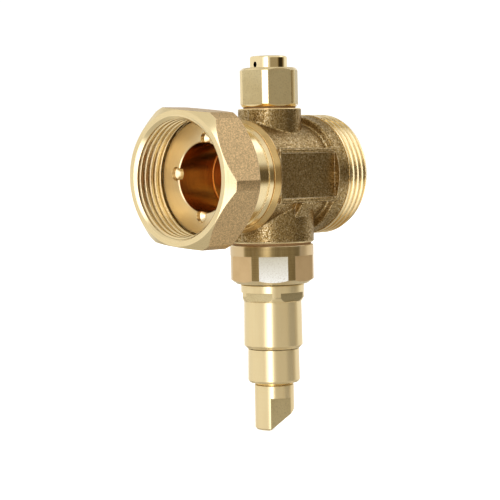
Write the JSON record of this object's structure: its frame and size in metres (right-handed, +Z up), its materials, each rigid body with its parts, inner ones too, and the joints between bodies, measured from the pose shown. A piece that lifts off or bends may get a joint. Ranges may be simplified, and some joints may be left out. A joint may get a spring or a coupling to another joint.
{
  "type": "frost protection valve",
  "caption": "Brass in-line frost protection valve with a swivel union nut, a threaded end, a thermostatic drain below and a vacuum breaker on top.",
  "frame": {"origin": "crossing of the flow axis and the cartridge axis, inside the body", "axes": "+X along the flow axis towards the male thread, +Z up along the cartridge axis towards the vacuum breaker, +Y completes the frame"},
  "size_m": [0.0735, 0.0502, 0.1292],
  "materials": {
    "cast_brass": "sand cast",
    "forged_brass": "hot forged with machined faces",
    "turned_brass": "turned",
    "polished_brass": "polished",
    "spring_steel": "drawn wire",
    "copper_capsule": "drawn",
    "black_rubber": "moulded",
    "fibre_gasket": "pressed fibre"
  },
  "bodies": {
    "housing": {"body": "cast_brass", "union_tail": "turned_brass", "tail_o_ring": "black_rubber", "vent_housing": "turned_brass", "vent_cap": "polished_brass", "vent_housing_seal": "fibre_gasket", "vent_spring": "spring_steel", "vent_spring_retainer": "turned_brass", "cartridge_collar": "turned_brass", "collar_seal": "fibre_gasket", "thermostat_sleeve": "turned_brass", "sleeve_o_ring": "black_rubber", "drain_seat": "turned_brass", "return_spring": "spring_steel", "guide_sleeve": "turned_brass", "spout_retaining_ring": "spring_steel", "spout_washer": "turned_brass", "wax_element": "copper_capsule", "element_clip": "spring_steel"},
    "nut": {"union_nut": "forged_brass"},
    "drain_shuttle": {"drain_poppet": "turned_brass", "drain_poppet_seal": "black_rubber", "overtravel_spring": "spring_steel", "spring_cup": "turned_brass", "push_pin": "spring_steel"},
    "vent_shuttle": {"vent_poppet": "turned_brass", "vent_seal": "black_rubber"},
    "outlet": {"spout": "turned_brass", "spout_o_ring": "black_rubber"}
  },
  "joints": [
    {"name": "nut_spin", "type": "hinge", "parent": "housing", "child": "nut", "pos_m": [-0.029, 0, 0], "axis": [1, 0, 0], "continuous": true},
    {"name": "spout_swivel", "type": "hinge", "parent": "housing", "child": "outlet", "pos_m": [0, 0, -0.07], "axis": [0, 0, 1], "continuous": true},
    {"name": "drain_lift", "type": "slide", "parent": "housing", "child": "drain_shuttle", "axis": [0, 0, 1], "range_m": [0, 0.0025], "deforming": ["return_spring"]},
    {"name": "vent_drop", "type": "slide", "parent": "housing", "child": "vent_shuttle", "axis": [0, 0, -1], "range_m": [0, 0.0018], "deforming": ["vent_spring"]}
  ]
}
